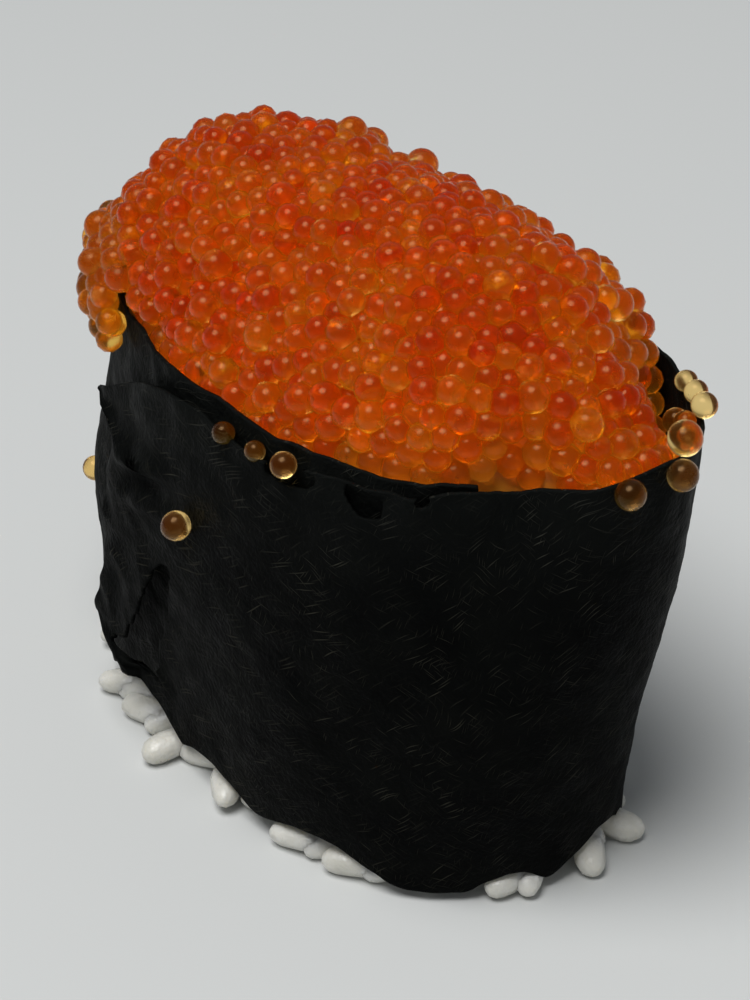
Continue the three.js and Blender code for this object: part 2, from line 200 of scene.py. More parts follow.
# The studio, in metres: one broad soft lamp overhead, and the camera.
LAMP_PLACE = (0.03, -0.2, 0.72)
LAMP_SIZE = 0.5
LAMP_WATTS = 5.2
SKY_STRENGTH = 0.2
CAMERA_PLACE = (0.13454, -0.09839, 0.1253)
CAMERA_TARGET = (-0.0001, 0.0002, 0.0205)
CAMERA_ROLL = -3.05
LENS = 100

# ------------------------------------------------------------------ helpers


def deselect_all():
    bpy.ops.object.select_all(action="DESELECT")


def name_new_piece(name):
    piece = bpy.context.object
    piece.name = name
    piece.data.name = name
    return piece


def read_points(piece):
    points = np.empty(len(piece.data.vertices) * 3)
    piece.data.vertices.foreach_get("co", points)
    return points.reshape(-1, 3)


def write_points(piece, points):
    piece.data.vertices.foreach_set("co", np.ascontiguousarray(points, dtype=np.float64).ravel())
    piece.data.update()


def make_active(piece):
    deselect_all()
    piece.select_set(True)
    bpy.context.view_layer.objects.active = piece


def in_edit_mode(piece, *steps, chosen=None):
    """Runs each step, a call without arguments, in edit mode on all or on chosen corners of a piece."""
    make_active(piece)
    bpy.ops.object.mode_set(mode="EDIT")
    bpy.ops.mesh.select_mode(type="VERT")
    bpy.ops.mesh.select_all(action="SELECT" if chosen is None else "DESELECT")
    if chosen is not None:
        bpy.ops.object.mode_set(mode="OBJECT")
        piece.data.vertices.foreach_set("select", np.asarray(chosen, dtype=bool))
        bpy.ops.object.mode_set(mode="EDIT")
    for step in steps:
        step()
    bpy.ops.object.mode_set(mode="OBJECT")


def apply_modifiers(piece):
    make_active(piece)
    for modifier in list(piece.modifiers):
        bpy.ops.object.modifier_apply(modifier=modifier.name)


def shade_smooth(piece):
    make_active(piece)
    bpy.ops.object.shade_smooth()


def lerp(a, b, share):
    return a + (b - a) * share


def smoothstep(value, low, high):
    share = np.clip((value - low) / (high - low), 0, 1)
    return share * share * (3 - 2 * share)


def signed_power(value, power):
    return np.sign(value) * np.abs(value) ** power


def bell(angle, centre, reach):
    """1 at an angle, falling to nothing at reach degrees to each side."""
    apart = np.abs((angle - centre + 540) % 360 - 180)
    return 1 - smoothstep(apart, 0, reach)


# ------------------------------------------------------------------ the wall that every part follows


def crumple(angle, z):
    turn = np.radians(angle)
    return sum(
        height * np.sin(count * turn + drift * z + phase)
        for height, count, drift, phase in SHEET_WAVES
    )


def wall_bulge(angle, z):
    """How far the wall stands out of its plain oval."""
    pinch = CORNER_PINCH * bell(angle, CORNER_ANGLE, 45) * smoothstep(z, 12, 30)
    flare = sum(most * bell(angle, centre, reach) for most, centre, reach in FLARES)
    flare = flare * smoothstep(z, FLARE_FOOT, STRIP_HEIGHT)
    return BARREL * np.sin(np.pi * z / STRIP_HEIGHT) - pinch + crumple(angle, z) + flare


def oval_at(z):
    rise = z / STRIP_HEIGHT
    halves = [lerp(FOOT_HALF[k], RIM_HALF[k], rise) for k in range(2)]
    centres = [lerp(FOOT_CENTRE[k], RIM_CENTRE[k], rise) for k in range(2)]
    return halves, centres


def wall_point(angle, z, outward):
    """Points of the wall, pushed outwards along its level normal; all three may be arrays."""
    angle, z, outward = np.broadcast_arrays(*(np.asarray(v, float) for v in (angle, z, outward)))
    halves, centres = oval_at(z)
    c, s = np.cos(np.radians(angle)), np.sin(np.radians(angle))
    normal_x = signed_power(c, 2 - 2 / OVAL_POWER) / halves[0]
    normal_y = signed_power(s, 2 - 2 / OVAL_POWER) / halves[1]
    push = (outward + wall_bulge(angle, z)) / np.hypot(normal_x, normal_y)
    x = centres[0] + halves[0] * signed_power(c, 2 / OVAL_POWER) + push * normal_x
    y = centres[1] + halves[1] * signed_power(s, 2 / OVAL_POWER) + push * normal_y
    return np.stack([x, y, z], axis=-1)


OUTLINE_TURNS = np.arange(0, 360, 1.5)
OUTLINE_LEVELS = np.arange(22, 42, 0.5)
OUTLINES = wall_point(OUTLINE_TURNS, OUTLINE_LEVELS[:, None], 0)[..., :2]


def wall_distance(points):
    """(angle, distance outside the wall, level normal) of points near the wall above the rice."""
    level = np.rint((points[:, 2] - OUTLINE_LEVELS[0]) / 0.5).astype(int)
    outline = OUTLINES[np.clip(level, 0, len(OUTLINE_LEVELS) - 1)]
    nearest = ((outline - points[:, None, :2]) ** 2).sum(-1).argmin(1)
    rows = np.arange(len(points))
    run = outline[rows, (nearest + 1) % len(OUTLINE_TURNS)] - outline[rows, nearest - 1]
    normal = np.stack([run[:, 1], -run[:, 0]], axis=-1) / np.hypot(*run.T)[:, None]
    distance = ((points[:, :2] - outline[rows, nearest]) * normal).sum(-1)
    return OUTLINE_TURNS[nearest], distance, normal


# ------------------------------------------------------------------ nori


def lap_share(travelled):
    return smoothstep(travelled, LAP_BEGINS, LAP_COMPLETE)


def flap_share(travelled):
    return smoothstep(travelled, STRIP_TURN - FLAP_TURN, STRIP_TURN)


def lower_edge(angle):
    rises = [height * bell(angle, centre, 2 * reach) for centre, reach, height in PEEPS]
    return 0.6 + np.max(rises, axis=0)


def upper_edge(travelled):
    turn = np.radians(STRIP_START - travelled)
    wave = 0.35 * np.sin(3 * turn + 0.4) + 0.25 * np.sin(8 * turn + 1.3)
    lapped = smoothstep(travelled, 360, 372)
    dip = EDGE_DIP * bell(STRIP_START - travelled, EDGE_DIP_ANGLE, 16)
    fall = FLAP_TOP_DROP * smoothstep(travelled, STRIP_TURN - FLAP_TOP_TURN, STRIP_TURN + 2)
    return STRIP_HEIGHT + wave - (OUTER_LAYER_DROP + dip) * lapped - fall


def torn_end(z):
    """How many degrees the flap's end is longer or shorter than its mean at a height."""
    return np.interp(z, TORN_HEIGHTS, TORN_DEGREES)


def noise_at(points, scale, seed):
    """Soft noise from -1 to 1 at points, with features of about scale millimetres."""
    shift = Vector((seed * 17.3, seed * 5.1, seed * 9.7))
    return np.array([noise.noise(Vector(p) / scale + shift) for p in points])


def distance_to_slit(angle, z):
    """Signed millimetres from the slit's line, and how far down it a place lies, from 0 to 1."""
    best = np.full(angle.shape, 1e3)
    side = np.zeros(angle.shape)
    down = np.zeros(angle.shape)
    mm_per_degree = 0.32
    for k, (start, end) in enumerate(zip(SLIT[:-1], SLIT[1:])):
        run = np.array([(end[0] - start[0]) * mm_per_degree, end[1] - start[1]])
        place = np.stack([(angle - start[0]) * mm_per_degree, z - start[1]], axis=-1)
        share = np.clip(place @ run / (run @ run), 0, 1)
        away = place - share[..., None] * run
        length = np.hypot(away[..., 0], away[..., 1])
        nearer = length < best
        best = np.where(nearer, length, best)
        side = np.where(nearer, np.sign(away[..., 0] + 1e-9), side)
        down = np.where(nearer, (k + share) / (len(SLIT) - 1), down)
    return best, side, down


def sheet_relief(base, angle, z, up, travelled):
    """How far the creases push the sheet out, in millimetres."""
    outer = smoothstep(travelled, 352, 358)
    own = base + np.outer(outer, [0, 0, 40])
    broad = noise_at(base, 7.0, 3)
    crease = np.abs(noise_at(own, 3.6, 4))
    fine = noise_at(own, 1.1, 5) + 0.6 * noise_at(own, 0.55, 6)
    loose = np.maximum(smoothstep(up, 0.8, 1.0), smoothstep(travelled, STRIP_TURN - 26, STRIP_TURN))
    relief = 0.28 * broad + (0.1 + 0.45 * loose) * (0.28 - crease) + 0.05 * fine

    # The crumpled upper edge of the outer layer, on the near side.
    crumpled = bell(angle, 302, 36) * outer * smoothstep(z, 28.5, 32.5)
    knots = noise_at(own * [1, 1, 1.5], 1.9, 9)
    relief += crumpled * (0.42 * (0.3 - 1.6 * np.abs(knots)) + 0.16)

    # The pocket: a hollow between two lips.
    across = np.exp(-((angle - POCKET_ANGLE) / 6.5) ** 2) * outer
    height = z - POCKET_HEIGHT - 0.13 * (angle - POCKET_ANGLE)
    lips = 0.75 * np.exp(-((height - 1.5) / 0.6) ** 2) + 0.45 * np.exp(-((height + 1.6) / 0.6) ** 2)
    relief += across * (lips - 0.8 * np.exp(-(height / 0.95) ** 2))

    # The slit: its left edge stands out, its right edge lies back.
    gap, side, down = distance_to_slit(angle, z)
    near = outer * smoothstep(down, 0, 0.35) * np.exp(-(gap / 2.6) ** 2)
    relief += near * np.where(side < 0, 0.75, -0.3)
    return relief


def nori_sheet():
    deselect_all()
    bpy.ops.mesh.primitive_grid_add(x_subdivisions=SHEET_COLUMNS, y_subdivisions=SHEET_ROWS, size=2)
    sheet = name_new_piece("nori_sheet")
    flat = read_points(sheet)
    along, up = (flat[:, 0] + 1) / 2, (flat[:, 1] + 1) / 2

    nominal = along * STRIP_TURN
    low = lower_edge(STRIP_START - nominal) + FLAP_FOOT_RISE * flap_share(nominal)
    z = lerp(low, upper_edge(nominal), up)
    travelled = nominal + torn_end(z) * smoothstep(along, 0.93, 1)
    angle = STRIP_START - travelled
    out = LAP_STEP * lap_share(travelled) + FLAP_LIFT * flap_share(nominal)

    base = wall_point(angle, z, 0)
    ragged = noise_at(base, 1.3, 1) + 0.5 * noise_at(base, 0.5, 2)
    z = z + 0.25 * ragged * np.maximum(smoothstep(up, 0.95, 1), 1 - smoothstep(up, 0, 0.05))
    out = out + sheet_relief(base, angle % 360, z, up, travelled)

    # The foot of the torn end curls outwards and up.
    curl = np.exp(-(((angle % 360 - CURL_ANGLE) / 5.5) ** 2)) * (1 - smoothstep(z, 4.6, CURL_HEIGHT))
    curl *= smoothstep(travelled, 430, 436)
    write_points(sheet, wall_point(angle, z + 1.2 * curl, out + 1.1 * curl) * MM)

    in_edit_mode(sheet, bpy.ops.mesh.flip_normals)
    lay_out_sheet(sheet, travelled, z)
    tear = torn_away(angle % 360, z, travelled)
    in_edit_mode(sheet, lambda: bpy.ops.mesh.delete(type="VERT"), chosen=tear)
    in_edit_mode(
        sheet,
        lambda: bpy.ops.mesh.select_all(action="DESELECT"),
        lambda: bpy.ops.mesh.select_non_manifold(),
        lambda: bpy.ops.mesh.vertices_smooth(factor=0.5, repeat=5),
    )
    thicken = sheet.modifiers.new("Thickness", "SOLIDIFY")
    thicken.thickness = NORI_THICKNESS * MM
    thicken.offset = 0
    apply_modifiers(sheet)
    shade_smooth(sheet)
    return sheet


def torn_away(angle, z, travelled):
    """Marks the corners in the slit and in the lacy holes under the outer layer's edge."""
    gap, _, down = distance_to_slit(angle, z)
    outer = travelled > 362
    slit = outer & (gap < 0.16 + 0.5 * down) & (down > 0.02)
    lace = noise_at(wall_point(angle, z, 0) * [1, 1, 1.9], 1.9, 8)
    band = bell(angle, 300, 26) * bell(z, 32.1, 1.6)
    holes = outer & (lace > 0.62 - 0.45 * band) & (band > 0.1)
    return slit | holes


def lay_out_sheet(sheet, travelled, z):
    """A flat map of the sheet, in centimetres, so that its fibres follow it round."""
    layer = sheet.data.uv_layers[0] if sheet.data.uv_layers else sheet.data.uv_layers.new()
    layer.name = "sheet"
    corners = np.empty(len(sheet.data.loops), dtype=int)
    sheet.data.loops.foreach_get("vertex_index", corners)
    round_cm = travelled * (math.pi / 180) * 1.95
    places = np.stack([round_cm[corners], z[corners] / 10], axis=-1)
    layer.data.foreach_set("uv", places.ravel())


# ------------------------------------------------------------------ rings and heaps


def ring_stack(name, columns, rings):
    """A closed solid drawn up from a circle, level by level. rings are arrays of places in millimetres; a
    first or last ring whose places are all alike closes the solid."""
    deselect_all()
    bpy.ops.mesh.primitive_circle_add(vertices=columns, radius=1, fill_type="NOTHING")
    piece = name_new_piece(name)

    def draw_up():
        for _ in rings[1:]:
            bpy.ops.mesh.extrude_region_move(TRANSFORM_OT_translate={"value": (0, 0, 1)})

    in_edit_mode(piece, draw_up)
    points = read_points(piece)
    level = np.rint(points[:, 2]).astype(int)
    turn = np.rint(np.arctan2(points[:, 1], points[:, 0]) / (2 * math.pi / columns)).astype(int) % columns
    write_points(piece, np.array(rings)[level, turn] * MM)
    in_edit_mode(
        piece,
        lambda: bpy.ops.mesh.remove_doubles(threshold=1e-6),
        lambda: bpy.ops.mesh.normals_make_consistent(inside=False),
    )
    return piece


def angles_round(columns):
    return np.arange(columns) * 360 / columns


def join_copies(name, model, placements):
    """One piece of many copies of a model piece, whose points are mapped by each placement."""
    points = read_points(model)
    faces = [tuple(face.vertices) for face in model.data.polygons]
    all_points = [place(points) for place in placements]
    count = len(points)
    all_faces = [tuple(v + k * count for v in face) for k in range(len(placements)) for face in faces]
    mesh = bpy.data.meshes.new(name)
    mesh.from_pydata(np.concatenate(all_points).tolist(), [], all_faces)
    piece = bpy.data.objects.new(name, mesh)
    bpy.context.scene.collection.objects.link(piece)
    bpy.data.objects.remove(model)
    shade_smooth(piece)
    return piece


def random_turn(rng):
    """A rotation matrix with no favoured direction."""
    q = rng.normal(size=4)
    w, x, y, z = q / np.linalg.norm(q)
    return np.array([
        [1 - 2 * (y * y + z * z), 2 * (x * y - z * w), 2 * (x * z + y * w)],
        [2 * (x * y + z * w), 1 - 2 * (x * x + z * z), 2 * (y * z - x * w)],
        [2 * (x * z - y * w), 2 * (y * z + x * w), 1 - 2 * (x * x + y * y)],
    ])


# ------------------------------------------------------------------ rice


def rice_block():
    columns = 120
    angles = angles_round(columns)
    levels = (
        (RICE_UNDERSIDE, 6), (RICE_UNDERSIDE, 1.4), (1.2, 0.7), (2, 0.3), (4, 0.2), (8, 0.2), (15, 0.2),
        (21, 0.3), (RICE_TOP, 2.4),
    )
    rings = []
    for z, inset in levels:
        ring = wall_point(angles, z, -RICE_CLEARANCE - inset)
        lumps = noise_at(ring, 2.6, 11)
        rings.append(wall_point(angles, z, -RICE_CLEARANCE - inset - 0.35 * np.abs(lumps)))
    rings.insert(0, np.tile([*FOOT_CENTRE, RICE_UNDERSIDE], (columns, 1)))
    rings.append(np.tile([*RIM_CENTRE, RICE_TOP], (columns, 1)))
    block = ring_stack("rice_block", columns, rings)
    shade_smooth(block)
    return block


def grain_model():
    """One cooked grain along Y: swollen, blunt at both ends, with a slight bend."""
    deselect_all()
    bpy.ops.mesh.primitive_uv_sphere_add(segments=8, ring_count=9, radius=1, rotation=(math.pi / 2, 0, 0))
    model = name_new_piece("grain")
    bpy.ops.object.transform_apply(location=False, rotation=True, scale=False)
    points = read_points(model)
    x, y, z = points.T
    blunt = np.sqrt((1 - np.abs(y) ** 3.2 + 1e-6) / (1 - y ** 2 + 1e-6))
    fuller = (1 - 0.1 * y) * np.minimum(blunt, 2)
    points = np.stack([x * fuller, y, z * fuller * 0.9], axis=-1)
    points[:, 0] += 0.2 * (y ** 2 - 0.4)
    write_points(model, points * [GRAIN_WIDTH / 2 * MM, GRAIN_LENGTH / 2 * MM, GRAIN_WIDTH / 2 * MM])
    return model


def grain_places(rng):
    """(place, turn, tilt, size) of the grains at the foot and all over the underside."""
    found = [(angle, 1.05, outward, turn, tilt, size) for angle, outward, turn, tilt, size in FOOT_GRAINS]
    for centre in FAR_PEEPS:
        for offset in (-13, -6, 1, 8, 14):
            found.append((
                centre + offset, rng.uniform(1.0, 1.3), rng.uniform(-1.3, -0.3),
                rng.uniform(-35, 35), rng.uniform(-12, 12), rng.uniform(0.85, 1.05),
            ))
    places = []
    for angle, z, outward, turn, tilt, size in found:
        ahead = wall_point(angle + 2, z, outward) - wall_point(angle - 2, z, outward)
        run = math.degrees(math.atan2(ahead[1], ahead[0])) - 90 + turn
        places.append((wall_point(angle, z, outward), run, tilt, size))
    for inset in np.arange(2.2, FOOT_HALF[1], UNDERSIDE_STEP):
        ring = wall_point(np.arange(0, 360, 2), GRAIN_LEVEL, -inset)
        length = np.linalg.norm(np.diff(ring, axis=0, append=ring[:1]), axis=1)
        for share in np.arange(0, 1, UNDERSIDE_STEP / max(length.sum(), 8)):
            nearest = np.searchsorted(length.cumsum() / length.sum(), share)
            here = ring[nearest] + [*rng.uniform(-0.7, 0.7, 2), 0]
            places.append((here, rng.uniform(0, 180), rng.uniform(-8, 8), rng.uniform(0.85, 1.05)))
    return places


def rice_grains():
    placements = [grain_placement(*place) for place in grain_places(np.random.default_rng(7))]
    return join_copies("rice_grains", grain_model(), placements)


def grain_placement(here, run, tilt, size):
    a, b = math.radians(run), math.radians(tilt)
    about_z = np.array([[math.cos(a), -math.sin(a), 0], [math.sin(a), math.cos(a), 0], [0, 0, 1]])
    about_x = np.array([[1, 0, 0], [0, math.cos(b), -math.sin(b)], [0, math.sin(b), math.cos(b)]])
    spin = about_z @ about_x

    def place(points):
        moved = points * size @ spin.T + here * MM
        moved[:, 2] = np.maximum(moved[:, 2], 0.0)
        moved[:, 0] += max(0, cad_bounds[0][0] - moved[:, 0].min())
        return moved

    return place


# ------------------------------------------------------------------ roe


def heap_top(x, y):
    """Height of the heap's mean surface over a point of the plan."""
    along = (x - RIM_CENTRE[0]) / RIM_HALF[0]
    across = (y - RIM_CENTRE[1]) / RIM_HALF[1]
    loaf = np.maximum(0, 1 - np.abs(along) ** 4 - across ** 2)
    full = HEAP_FULLNESS * smoothstep(-along, 0.1, 0.5) * smoothstep(-across, -1.2, 0.4)
    from_hollow = np.hypot(x - HOLLOW_CENTRE[0], y - HOLLOW_CENTRE[1])
    hollow = HOLLOW_DEPTH * (1 - smoothstep(from_hollow, 0, HOLLOW_REACH))
    return np.maximum(HEAP_LOWEST, HEAP_SHOULDER + HEAP_RISE * loaf + full - hollow)


def heap_normal(x, y):
    step = 0.5
    slope_x = (heap_top(x + step, y) - heap_top(x - step, y)) / (2 * step)
    slope_y = (heap_top(x, y + step) - heap_top(x, y - step)) / (2 * step)
    normal = np.stack([-slope_x, -slope_y, np.ones_like(slope_x)], axis=-1)
    return normal / np.linalg.norm(normal, axis=-1, keepdims=True)


def spill_share(angle):
    return smoothstep(bell(angle, SPILL_ANGLE, SPILL_HALF_TURN), 0.2, 0.8)


def core_top(places):
    """Height of the core under the eggs: its depth is measured square to the heap's surface."""
    x, y = places[:, 0], places[:, 1]
    steepness = np.maximum(heap_normal(x, y)[:, 2], 0.5)
    return np.maximum(RICE_TOP + 2, heap_top(x, y) - HEAP_CORE_DEPTH / steepness)


def roe_core():
    columns = 96
    angles = angles_round(columns)
    centre = np.array([*RIM_CENTRE, 0])
    edge = wall_point(angles, STRIP_HEIGHT - 2, -CORE_EDGE_INSET)
    for _ in range(3):
        edge = wall_point(angles, np.minimum(core_top(edge), CORE_EDGE_HIGHEST), -CORE_EDGE_INSET)
    floor = RICE_TOP + 0.4
    rings = [np.tile([*RIM_CENTRE, floor], (columns, 1)), wall_point(angles, floor, -0.6)]
    for share in CORE_RINGS:
        ring = lerp(centre, edge, share)
        ring[:, 2] = core_top(ring)
        rings.append(ring)
    core = ring_stack("roe_core", columns, rings)
    shade_smooth(core)
    return core


def push_apart(places, radii, touch):
    """Moves balls that overlap half of the way apart."""
    apart = places[:, None, :] - places[None, :, :]
    distance = np.sqrt((apart ** 2).sum(-1)) + 1e-9
    need = touch * (radii[:, None] + radii[None, :])
    over = np.where(distance < need, need - distance, 0)
    np.fill_diagonal(over, 0)
    push = apart / distance[..., None] * over[..., None]
    return places + 0.3 * push.sum(1)


def keep_off_nori(places, radii):
    """Balls stay inside the cup, clear of the sheet and of its rim; at the spill they may lie over it."""
    angle, distance, normal = wall_distance(places)
    travelled = (STRIP_START - angle) % 360
    rim = upper_edge(travelled)
    above = np.maximum(0, places[:, 2] - rim)
    need = radii + NORI_THICKNESS / 2 + 0.12
    reach = np.hypot(distance, above)
    over = np.maximum(0, need - reach)
    side = np.where(distance < 0, -1, 1)
    level = np.where(above > 0, distance / (reach + 1e-9), side) * over
    places = places.copy()
    places[:, :2] += level[:, None] * normal
    places[:, 2] += over * above / (reach + 1e-9)
    limit = lerp(-need, SPILL_REACH + 0.1, spill_share(angle))
    beyond = np.maximum(0, distance - limit)
    places[:, :2] -= beyond[:, None] * normal
    return places


def heap_height(places):
    """How far places lie above the heap's mean surface, square to it."""
    normal = heap_normal(places[:, 0], places[:, 1])
    return (places[:, 2] - heap_top(places[:, 0], places[:, 1])) * normal[:, 2], normal


def settled_eggs(rng):
    """Places and radii of the eggs of the heap, after they have pushed each other apart."""
    radii = EGG_RADIUS * rng.uniform(0.88, 1.07, HEAP_EGGS)
    brim = wall_point(np.arange(0, 360, 3.6), STRIP_HEIGHT, -BRIM_EGG_INSET)
    brim[:, 2] = heap_top(brim[:, 0], brim[:, 1])
    places = [tuple(place) for place in brim]
    while len(places) < HEAP_EGGS:
        x = RIM_CENTRE[0] + rng.uniform(-1.1, 1.1) * RIM_HALF[0]
        y = RIM_CENTRE[1] + rng.uniform(-1.2, 1.2) * RIM_HALF[1]
        z = heap_top(x, y)
        angle, distance, _ = wall_distance(np.array([[x, y, z]]))
        slope = heap_normal(np.array([x]), np.array([y]))[0, 2]
        if distance[0] < lerp(-1.3, SPILL_REACH, spill_share(angle[0])) and rng.random() * slope < 0.5:
            places.append((x, y, z))
    places = np.array(places)
    wanted = rng.uniform(-1.5, 0.3, HEAP_EGGS)
    wanted[rng.random(HEAP_EGGS) < 0.06] = 0.6
    upright = heap_normal(brim[:, 0], brim[:, 1])[:, 2]
    wanted[:len(brim)] = np.minimum(0, BRIM_EGG_HEIGHT - brim[:, 2]) * upright
    for _ in range(SETTLING_STEPS):
        height, normal = heap_height(places)
        places = places + 0.4 * normal * (wanted - height)[:, None]
        places = push_apart(places, radii, EGG_TOUCH)
        places = keep_off_nori(places, radii)
    places[:, 2] = np.minimum(places[:, 2], cad_bounds[1][2] / MM - EGG_ROOM * radii)
    return places, radii


def brim_eggs(settled):
    """Eggs that fill the gaps between the settled ones and the cup, where the heap reaches its rim."""
    ring = wall_point(np.arange(0, 360, 2.5), BRIM_FILL_HEIGHT, -BRIM_FILL_INSET)
    ring = ring[heap_top(ring[:, 0], ring[:, 1]) > STRIP_HEIGHT + 0.5]
    chosen = list(settled)
    found = []
    for place in ring:
        if np.linalg.norm(np.array(chosen) - place, axis=-1).min() > BRIM_FILL_SPACING:
            found.append(place)
            chosen.append(place)
    return np.array(found), np.full(len(found), 0.93 * EGG_RADIUS)


def spilled_eggs(rng):
    """Eggs that hang from the spill down the outside of the cup, each on the one above it."""
    places = []
    for angle in np.arange(SPILL_ANGLE - 18, SPILL_ANGLE + 26, 4.6):
        deep = bell(angle, SPILL_ANGLE + 8, 30)
        for drop in range(int(2.9 * deep) + 1):
            z = STRIP_HEIGHT + 0.7 - 1.6 * drop + rng.uniform(-0.3, 0.3)
            out = SPILL_REACH - 0.55 - 0.1 * drop + rng.uniform(-0.1, 0.3)
            places.append(wall_point(angle + 3 * drop, z, out))
    return np.array(places), EGG_RADIUS * rng.uniform(0.88, 1.0, len(places))


def egg_model(rounds):
    deselect_all()
    bpy.ops.mesh.primitive_ico_sphere_add(subdivisions=rounds, radius=1)
    return name_new_piece("egg")


def egg_placement(here, radius, rng):
    spin = random_turn(rng)
    stretch = rng.uniform(0.94, 1.04, 3)

    def place(points):
        return (points * stretch @ spin.T * radius + here) * MM

    return place


def colour_by_copy(piece, count, values, name):
    """Stores one value for each copy in a joined piece, for its material."""
    per_copy = len(piece.data.vertices) // count
    attribute = piece.data.attributes.new(name, "FLOAT", "POINT")
    attribute.data.foreach_set("value", np.repeat(values, per_copy).astype(np.float32))


def roe_eggs():
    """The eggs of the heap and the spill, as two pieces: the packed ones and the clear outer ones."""
    rng = np.random.default_rng(12)
    places, radii = settled_eggs(rng)
    for more, more_radii in (spilled_eggs(rng), brim_eggs(places)):
        places, radii = np.concatenate([places, more]), np.concatenate([radii, more_radii])
    places[:, 0] = np.maximum(places[:, 0], cad_bounds[0][0] / MM + EGG_ROOM * radii)
    angle, distance, _ = wall_distance(places)
    height, _ = heap_height(places)

    # The eggs that stand out most are clear: many at the spill and on the far slope, few on the near side.
    outside = 0.5 * height + 1.6 * smoothstep(distance, -2.6, 0.5) + rng.uniform(0, 1.3, len(places))
    outside += 1.1 * smoothstep(places[:, 1], 3, 9) - 2.5 * bell(angle, 290, 62)
    outside += 1.2 * spill_share(angle) * smoothstep(distance, -0.8, 1.2)
    clear = outside > np.quantile(outside, 1 - CLEAR_SHARE)
    pieces = []
    kinds = (("roe_eggs", ~clear, 2, 1), ("clear_roe_eggs", clear, 3, CLEAR_RIPEST))
    for name, chosen, rounds, ripest in kinds:
        chosen = np.nonzero(chosen)[0]
        placements = [egg_placement(places[k], radii[k], rng) for k in chosen]
        eggs = join_copies(name, egg_model(rounds), placements)
        colour_by_copy(eggs, len(chosen), ripest * rng.random(len(chosen)), "ripeness")
        pieces.append(eggs)
    return pieces


def stray_eggs():
    rng = np.random.default_rng(5)
    placements = []
    for angle, z, outward, size in STRAY_EGGS:
        placements.append(egg_placement(wall_point(angle, z, outward), EGG_RADIUS * size, rng))
    eggs = join_copies("stray_eggs", egg_model(3), placements)
    colour_by_copy(eggs, len(placements), STRAY_RIPEST * rng.random(len(placements)), "ripeness")
    return eggs


# ------------------------------------------------------------------ materials


def new_material(name):
    material = bpy.data.materials.new(name)
    material.use_nodes = True
    nodes = material.node_tree.nodes
    return material, nodes, material.node_tree.links, nodes["Principled BSDF"]


def new_group(name, inputs, outputs):
    """An empty shader node group, of inputs (name, socket kind, value) and outputs (name, socket kind)."""
    group = bpy.data.node_groups.new(name, "ShaderNodeTree")
    for label, kind, value in inputs:
        socket = group.interface.new_socket(label, in_out="INPUT", socket_type="NodeSocket" + kind)
        if value is not None:
            socket.default_value = value
    for label, kind in outputs:
        group.interface.new_socket(label, in_out="OUTPUT", socket_type="NodeSocket" + kind)
    given, result = group.nodes.new("NodeGroupInput"), group.nodes.new("NodeGroupOutput")
    return group, group.nodes, group.links, given, result


def fibres_group():
    """Short, slightly bent fibres laid one way: a mask of streaks, some brighter than others."""
    group, nodes, links, given, result = new_group(
        "fibres",
        [("Vector", "Vector", None), ("Turn", "Float", 0.0), ("Length", "Float", 3.0),
         ("Width", "Float", 30.0), ("Size", "Float", 0.2), ("Bend", "Float", 0.25)],
        [("Mask", "Float")],
    )
    drift = nodes.new("ShaderNodeTexNoise")
    drift.inputs["Scale"].default_value = 2.2
    drift.inputs["Detail"].default_value = 1
    from_middle = nodes.new("ShaderNodeVectorMath")
    from_middle.operation = "SUBTRACT"
    from_middle.inputs[1].default_value = (0.5, 0.5, 0.5)
    pushed = nodes.new("ShaderNodeVectorMath")
    pushed.operation = "SCALE"
    bent = nodes.new("ShaderNodeVectorMath")
    bent.operation = "ADD"
    links.new(given.outputs["Vector"], drift.inputs["Vector"])
    links.new(drift.outputs["Color"], from_middle.inputs[0])
    links.new(from_middle.outputs["Vector"], pushed.inputs[0])
    links.new(given.outputs["Bend"], pushed.inputs["Scale"])
    links.new(given.outputs["Vector"], bent.inputs[0])
    links.new(pushed.outputs["Vector"], bent.inputs[1])
    turn = nodes.new("ShaderNodeVectorRotate")
    turn.rotation_type = "Z_AXIS"
    stretch = nodes.new("ShaderNodeVectorMath")
    stretch.operation = "MULTIPLY"
    both = nodes.new("ShaderNodeCombineXYZ")
    both.inputs["Z"].default_value = 1
    cells = nodes.new("ShaderNodeTexVoronoi")
    cells.voronoi_dimensions = "2D"
    cells.inputs["Scale"].default_value = 1
    edge = nodes.new("ShaderNodeMath")
    edge.operation = "SUBTRACT"
    sharpen = nodes.new("ShaderNodeMapRange")
    sharpen.inputs["From Max"].default_value = 0.12
    tone = nodes.new("ShaderNodeSeparateColor")
    bold = nodes.new("ShaderNodeMath")
    bold.operation = "POWER"
    bold.inputs[1].default_value = 2.2
    fade = nodes.new("ShaderNodeMath")
    fade.operation = "MULTIPLY"
    links.new(bent.outputs["Vector"], turn.inputs["Vector"])
    links.new(given.outputs["Turn"], turn.inputs["Angle"])
    links.new(given.outputs["Length"], both.inputs["X"])
    links.new(given.outputs["Width"], both.inputs["Y"])
    links.new(turn.outputs["Vector"], stretch.inputs[0])
    links.new(both.outputs["Vector"], stretch.inputs[1])
    links.new(stretch.outputs["Vector"], cells.inputs["Vector"])
    links.new(given.outputs["Size"], edge.inputs[0])
    links.new(cells.outputs["Distance"], edge.inputs[1])
    links.new(edge.outputs[0], sharpen.inputs["Value"])
    links.new(cells.outputs["Color"], tone.inputs["Color"])
    links.new(sharpen.outputs["Result"], fade.inputs[0])
    links.new(tone.outputs["Red"], bold.inputs[0])
    links.new(bold.outputs[0], fade.inputs[1])
    links.new(fade.outputs[0], result.inputs["Mask"])
    return group


